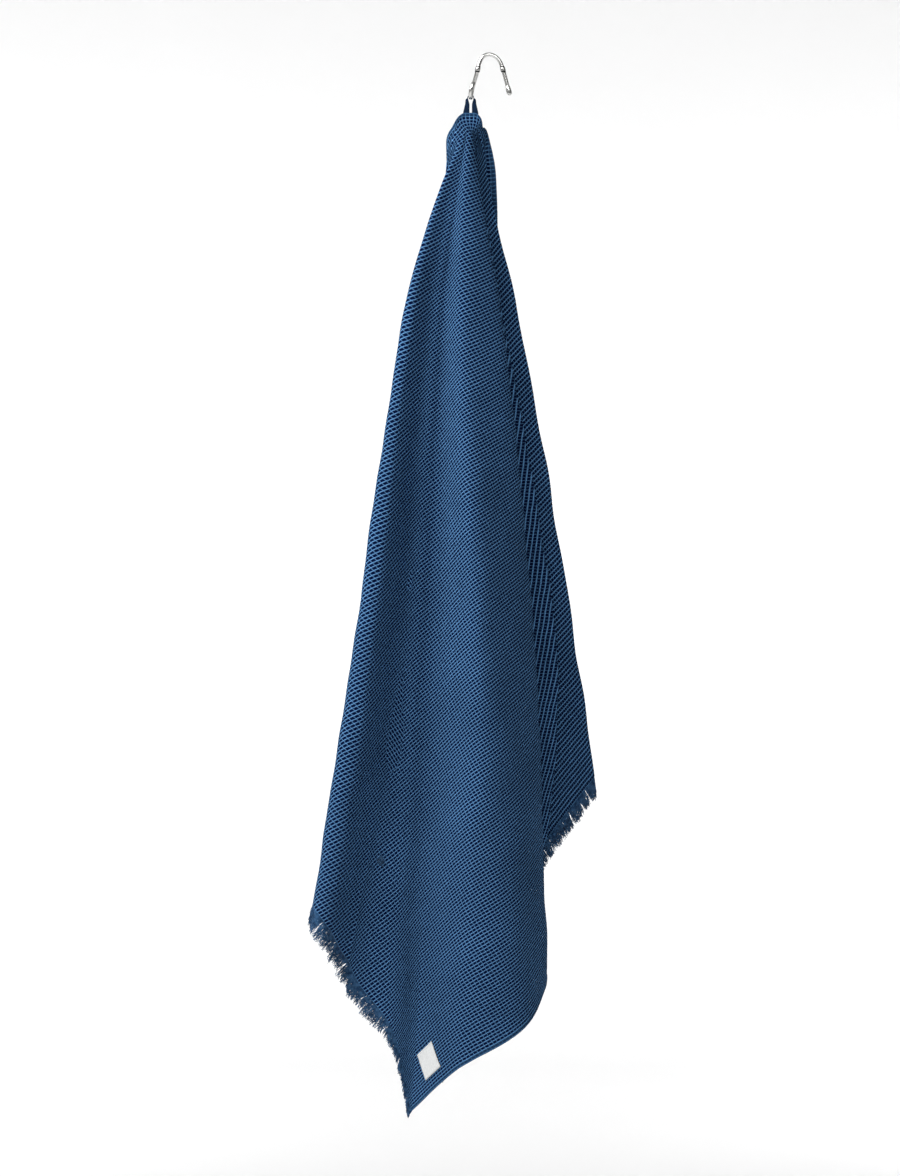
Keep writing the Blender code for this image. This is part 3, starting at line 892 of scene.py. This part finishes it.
@dataclass
class Fringe:
    """Loose threads along one cut side, leaning together in small locks."""

    drape: Drape
    side: Side
    finish: Material
    node: str
    seed: int
    threads: int = 4700
    locks: int = 120
    length: float = 0.0175
    length_places: Numbers = (0.0, 0.80, 0.93, 1.0)
    length_shares: Numbers = (1.0, 1.0, 0.66, 0.80)
    length_spread: Pair = (0.72, 1.12)
    uneven: float = 0.0022
    radius: float = 0.00048
    taper: float = 0.45
    droop: float = 0.0045
    gather: float = 0.14
    curl: float = 0.0034
    lock_lean: float = 0.0026
    lock_lift: float = 0.0030
    lean: float = 0.0010
    lift: float = 0.0012
    waver: float = 0.0006
    margin: float = 0.0004
    root: float = 0.0012
    steps: Numbers = (0.0, 0.3, 0.6, 0.8, 1.0)

    def build(self) -> None:
        """Builds one mesh of all the threads."""
        rng = random.Random(self.seed)
        lock_leans = [rng.uniform(-self.lock_lean, self.lock_lean) for _ in range(self.locks + 1)]
        lock_lengths = [1 + rng.uniform(-1, 1) * self.uneven / self.length for _ in range(self.locks + 1)]
        lock_lifts = [rng.uniform(-self.lock_lift, self.lock_lift) for _ in range(self.locks + 1)]
        pitch = self.drape.width / self.locks
        routes = []
        for i in range(self.threads):
            down = (i + rng.uniform(0.2, 0.8)) / self.threads * self.drape.width
            lock = int(down / pitch)
            centre = (lock + 0.5) * pitch
            share = float(np.interp(down / self.drape.width, self.length_places, self.length_shares))
            reach = self.length * share * lock_lengths[lock] * rng.uniform(*self.length_spread)
            lean = lock_leans[lock] + rng.uniform(-self.lean, self.lean)
            tip = self.inside(down + (centre - down) * self.gather + lean)
            lift = lock_lifts[lock] + rng.uniform(-self.lift, self.lift)
            routes.append(self.thread(down, tip, reach, lift, rng))
        made = wires_to_object(self.node + "_threads", routes, self.radius, 0, self.finish)
        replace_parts(made, self.node)
        LOG.info("%s: %d threads", made.name, len(routes))

    def inside(self, down: float) -> float:
        """A place down the side, held between the two hems."""
        return min(max(down, self.margin), self.drape.width - self.margin)

    def thread(
        self, down: float, tip: float, reach: float, lift: float, rng: random.Random
    ) -> Route:
        """One thread's points from inside the cloth's edge to its tip.

        Args:
            down: Its root's place down the cloth.
            tip: Its tip's place.
            reach: Its length.
            lift: How far its tip stands off the cloth's face.
            rng: Source of its small bends.

        Returns:
            Its points and their shares of the full radius.
        """
        edge = self.drape.length / 2
        out = self.drape.facing(self.side.value * (edge - 0.001), down)
        points, shares = [], []
        curl, phase = rng.uniform(0.2, 1.0) * self.curl, rng.uniform(0, 2 * math.pi)
        for step in self.steps:
            sway = curl * step * math.sin(phase + 5.0 * step)
            level = self.inside(down + (tip - down) * step**1.3 + sway)
            place = self.drape.at(self.side.value * (edge - self.root + reach * step), level)
            wave = out * (lift * step**1.5 + rng.uniform(-self.waver, self.waver) * step)
            fall = self.droop * step**2 * reach / self.length
            points.append(place + wave + Vector((rng.uniform(-self.waver, self.waver) * step, 0, -fall)))
            shares.append(1.0 - self.taper * step)
        return points, shares


@dataclass
class HangingLoop:
    """Narrow tape over the hook's lower bend, its two legs sewn to the hem."""

    finish: Material
    wire: float = 0.0050
    thickness: float = 0.0010
    foot_thickness: float = 0.0012
    width: float = 0.0080
    top_width: float = 0.0044
    pinched_at: float = 0.45
    seat: float = 0.0008
    foot: float = -0.0060
    gap: float = 0.0030
    cloth: float = 0.0016
    clear: float = 0.0003
    bend: Pair = (0.0013, 0.0183)
    bend_step: int = 10
    leg_steps: int = 14
    foot_drops: Triple = (0.35, 0.7, 1.0)
    sides: int = 16
    squareness: Pair = (0.35, 0.55)

    def stations(self) -> list[Numbers]:
        """Half of the tape's run, from the top of the bend to one foot.

        Returns:
            For each station: right, up, turn in degrees, width, depth and behind.
        """
        inner = self.wire / 2 + self.seat
        over = inner + self.thickness / 2
        behind = self.cloth / 2 + self.clear + self.foot_thickness / 2
        rows = []
        for turn in range(0, 91, self.bend_step):
            angle = math.radians(turn)
            rows.append((over * math.sin(angle), self.bend[1] + over * math.cos(angle), float(turn),
                         self.thickness, self.top_width, 0.0))
        for i in range(self.leg_steps):
            share = (i + 1) / self.leg_steps
            spread = share**0.5
            width = self.thickness + (self.width - self.thickness) * spread
            depth = self.top_width + (self.foot_thickness - self.top_width) * share**0.7
            pinch = min(1.0, share / self.pinched_at)
            right = inner + (self.gap / 2 - inner) * pinch * pinch * (3 - 2 * pinch) + width / 2
            rows.append((right, self.bend[1] * (1 - share), 90.0, width, depth, behind * share))
        for drop in self.foot_drops:
            rows.append((self.gap / 2 + self.width / 2, self.foot * drop, 90.0, self.width,
                         self.foot_thickness, behind))
        return rows

    def build(self) -> None:
        """Builds the tape."""
        half = self.stations()
        mirrored = [(-x, z, -turn, w, d, y) for x, z, turn, w, d, y in reversed(half[1:])]
        bm = bmesh.new()
        rings = []
        for x, z, turn, width, depth, y in mirrored + half:
            centre = LOOP_ROOT + Vector((self.bend[0] + x, y, z))
            spin = Matrix.Rotation(math.radians(turn), 3, "Y")
            circle = bmesh.ops.create_circle(bm, segments=self.sides, radius=1.0)["verts"]
            for vert in circle:
                across, back = (math.copysign(abs(value) ** power, value) if abs(value) > SAME_PLACE else 0.0
                                for value, power in zip(vert.co.xy, self.squareness))
                offset = spin @ Vector((0, 0, across * width / 2)) + Vector((0, back * depth / 2, 0))
                vert.co = centre + offset
            rings.append(circle)
        for first, second in zip(rings, rings[1:]):
            edges = {edge for ring in (first, second) for vert in ring for edge in vert.link_edges
                     if edge.other_vert(vert) in set(ring)}
            bmesh.ops.bridge_loops(bm, edges=list(edges))
        for ring in (rings[0], rings[-1]):
            bmesh.ops.contextual_create(bm, geom=ring)
        bmesh.ops.recalc_face_normals(bm, faces=bm.faces)
        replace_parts(to_object("tape_loop", bm, self.finish), "hanging_loop")


@dataclass
class WireHook:
    """Round polished wire: an arch above, a small bend below for the loop, two pressed collars and a flared tip."""

    finish: Material
    diameter: float = 0.0050
    steps: int = 9
    collar_height: float = 0.0540
    collar_half: float = 0.0030
    collar_rise: float = 0.30
    flare: float = 0.34
    flare_length: float = 0.012
    end_length: float = 0.0030
    route: tuple[Triple, ...] = (
        (0.56, -0.70, 3.80), (0.28, -0.92, 3.15), (0.12, -0.88, 2.58), (0.10, -0.55, 2.02), (0.13, 0.00, 1.83),
        (0.17, 0.55, 2.02), (0.24, 0.86, 2.60), (0.42, 0.70, 3.40), (0.70, 0.36, 4.35), (1.00, 0.06, 5.40),
        (1.21, 0.00, 6.20), (1.62, 0.00, 6.93), (2.33, 0.00, 7.25), (3.12, 0.00, 7.02), (3.74, 0.00, 6.38),
        (4.12, 0.00, 5.40), (4.58, 0.00, 3.75), (5.00, 0.00, 2.15),
    )

    def points(self) -> Array:
        """Points of the wire's smooth middle line."""
        knots = np.arange(len(self.route))
        values = np.array(self.route, float).T * CM
        at = np.linspace(0, len(knots) - 1, self.steps * (len(knots) - 1) + 1)
        return curve_through(knots, values, np.gradient(values, axis=1), at).T + np.array(LOOP_ROOT)

    def share(self, place: Array, to_tip: float, to_start: float) -> float:
        """The wire's radius as a share of its own, at one point.

        Args:
            place: The point.
            to_tip: Distance along the wire to the free leg's end.
            to_start: Distance along the wire from the lower bend's end.

        Returns:
            The share.
        """
        off = abs(place[2] - LOOP_ROOT.z - self.collar_height) / self.collar_half
        share = 1 + self.collar_rise * math.exp(-(off**4))
        if to_tip < self.flare_length:
            share += self.flare * math.sin(math.pi * min(1, to_tip / self.flare_length * 0.9 + 0.05))
        for end in (to_tip, to_start):
            if end < self.end_length:
                share *= math.sqrt(max(0.04, 1 - (1 - end / self.end_length) ** 2))
        return share

    def build(self) -> None:
        """Builds the hook."""
        points = self.points()
        run = np.concatenate([[0], np.cumsum(np.linalg.norm(np.diff(points, axis=0), axis=1))])
        close = np.linspace(0, self.end_length, 8)
        fine = np.unique(np.concatenate([np.linspace(0, run[-1], 220), close, run[-1] - close]))
        smooth = np.stack([np.interp(fine, run, points[:, i]) for i in range(3)], axis=1)
        shares = [self.share(p, run[-1] - d, d) for p, d in zip(smooth, fine)]
        route = ([Vector(p) for p in smooth], shares)
        hook = wires_to_object("wire_hook", [route], self.diameter / 2, 6, self.finish)
        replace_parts(hook, "hook")


# Studio


@dataclass
class Studio:
    """Pale paper sweep, soft lights and the camera at the photograph's angle."""

    paper: Material
    floor: float = -1.75
    half_width: float = 6.0
    sweep_front: float = -6.0
    sweep_from: float = 3.8
    sweep_radius: float = 0.9
    wall_height: float = 4.0
    middle: Triple = (-0.05, 0.0, -0.62)
    camera_place: Triple = (-0.0480, -4.5, -0.6590)
    frame_height: float = 1.458
    sensor: float = 36.0
    key_angle: float = 52.0
    key_rise: float = 38.0
    key_distance: float = 3.3
    key_strength: float = 145.0
    front_way: Triple = (0.12, -0.86, 0.50)
    front_distance: float = 4.2
    front_strength: float = 37.0
    backdrop_place: Triple = (2.2, 2.6, -0.6)
    backdrop_target: Triple = (0.2, 4.7, -1.0)
    backdrop_strength: float = 31.0
    fill: Pair = (0.33, 0.17)

    def sweep(self) -> None:
        """Floor that curves up into the backdrop, one sheet of paper."""
        bm = bmesh.new()
        front = [bm.verts.new((x, self.sweep_front, self.floor)) for x in (-self.half_width, self.half_width)]
        moved = bmesh.ops.extrude_edge_only(bm, edges=[bm.edges.new(front)])["geom"]
        line = [item for item in moved if isinstance(item, bmesh.types.BMVert)]
        bmesh.ops.translate(bm, verts=line, vec=(0, self.sweep_from - self.sweep_front, 0))
        edges = [item for item in moved if isinstance(item, bmesh.types.BMEdge)]
        spun = bmesh.ops.spin(
            bm, geom=line + edges, cent=(0, self.sweep_from, self.floor + self.sweep_radius), axis=(1, 0, 0),
            angle=math.pi / 2, steps=16, use_merge=False, dvec=(0, 0, 0), use_duplicate=False,
        )["geom_last"]
        top = [item for item in spun if isinstance(item, bmesh.types.BMEdge)]
        risen = bmesh.ops.extrude_edge_only(bm, edges=top)["geom"]
        highest = [item for item in risen if isinstance(item, bmesh.types.BMVert)]
        bmesh.ops.translate(bm, verts=highest, vec=(0, 0, self.wall_height))
        mesh = bpy.data.meshes.new("studio_sweep")
        bm.to_mesh(mesh)
        bm.free()
        mesh.materials.append(self.paper)
        mesh.shade_smooth()
        add_object("studio_sweep", mesh)

    def area_light(self, name: str, place: Vector, target: Vector, size: float, power: float) -> None:
        """A square soft light that faces a target."""
        light = bpy.data.lights.new(name, "AREA")
        light.size = size
        light.energy = power
        made = add_object(name, light)
        made.location = place
        made.rotation_euler = (target - place).to_track_quat("-Z", "Y").to_euler()

    def room_light(self) -> None:
        """Soft white light from all round, stronger from the key's side."""
        g = Graph(bpy.data.worlds.new("studio"), "Background")
        way = g.node("ShaderNodeTexCoord").outputs["Generated"]
        right = g.node("ShaderNodeSeparateXYZ", Vector=way).outputs[0]
        g.set(Color=(1.0, 1.0, 1.0, 1.0), Strength=g.span(right, -1.0, 1.0, *self.fill))
        SCENE.world = g.owner

    def build(self) -> None:
        """Builds the stage, the lights and the camera."""
        self.sweep()
        middle = Vector(self.middle)
        angle, rise = math.radians(self.key_angle), math.radians(self.key_rise)
        way = Vector((-math.sin(angle) * math.cos(rise), -math.cos(angle) * math.cos(rise), math.sin(rise)))
        self.area_light("key_light", middle + way * self.key_distance, middle, 1.9, self.key_strength)
        front = middle + Vector(self.front_way) * self.front_distance
        self.area_light("front_light", front, middle, 1.6, self.front_strength)
        for name, side in (("backdrop_light_left", -1), ("backdrop_light_right", 1)):
            place, target = (Vector((side * x, y, z)) for x, y, z in (self.backdrop_place, self.backdrop_target))
            self.area_light(name, place, target, 1.2, self.backdrop_strength)
        self.room_light()
        lens = bpy.data.cameras.new("camera")
        lens.sensor_fit = "VERTICAL"
        lens.sensor_height = self.sensor
        lens.lens = self.sensor * abs(self.camera_place[1]) / self.frame_height
        SCENE.camera = add_object("camera", lens)
        SCENE.camera.location = self.camera_place
        SCENE.camera.rotation_euler = (math.pi / 2, 0.0, 0.0)
        SCENE.view_settings.view_transform = "Standard"


def main() -> None:
    """Builds each sub-assembly in order."""
    logging.basicConfig(level=logging.INFO, format="%(name)s: %(message)s")
    cotton = WaffleCotton().make()
    loose = ThreadCotton("fringe_cotton", (0.006, 0.030, 0.085), (0.050, 0.130, 0.260)).make()
    sewing = ThreadCotton("sewing_thread", (0.012, 0.042, 0.095), (0.030, 0.082, 0.160), 900.0).make()
    drape = Drape()
    HangingLoop(NavyTape().make()).build()
    BathSheet(drape, cotton, sewing, WovenLabel().make()).build()
    Fringe(drape, Side.LEFT, loose, "fringe_left", 3).build()
    Fringe(drape, Side.RIGHT, loose, "fringe_right", 5).build()
    WireHook(PolishedSteel().make()).build()
    Studio(StudioPaper().make()).build()


if __name__ == "__main__":
    main()
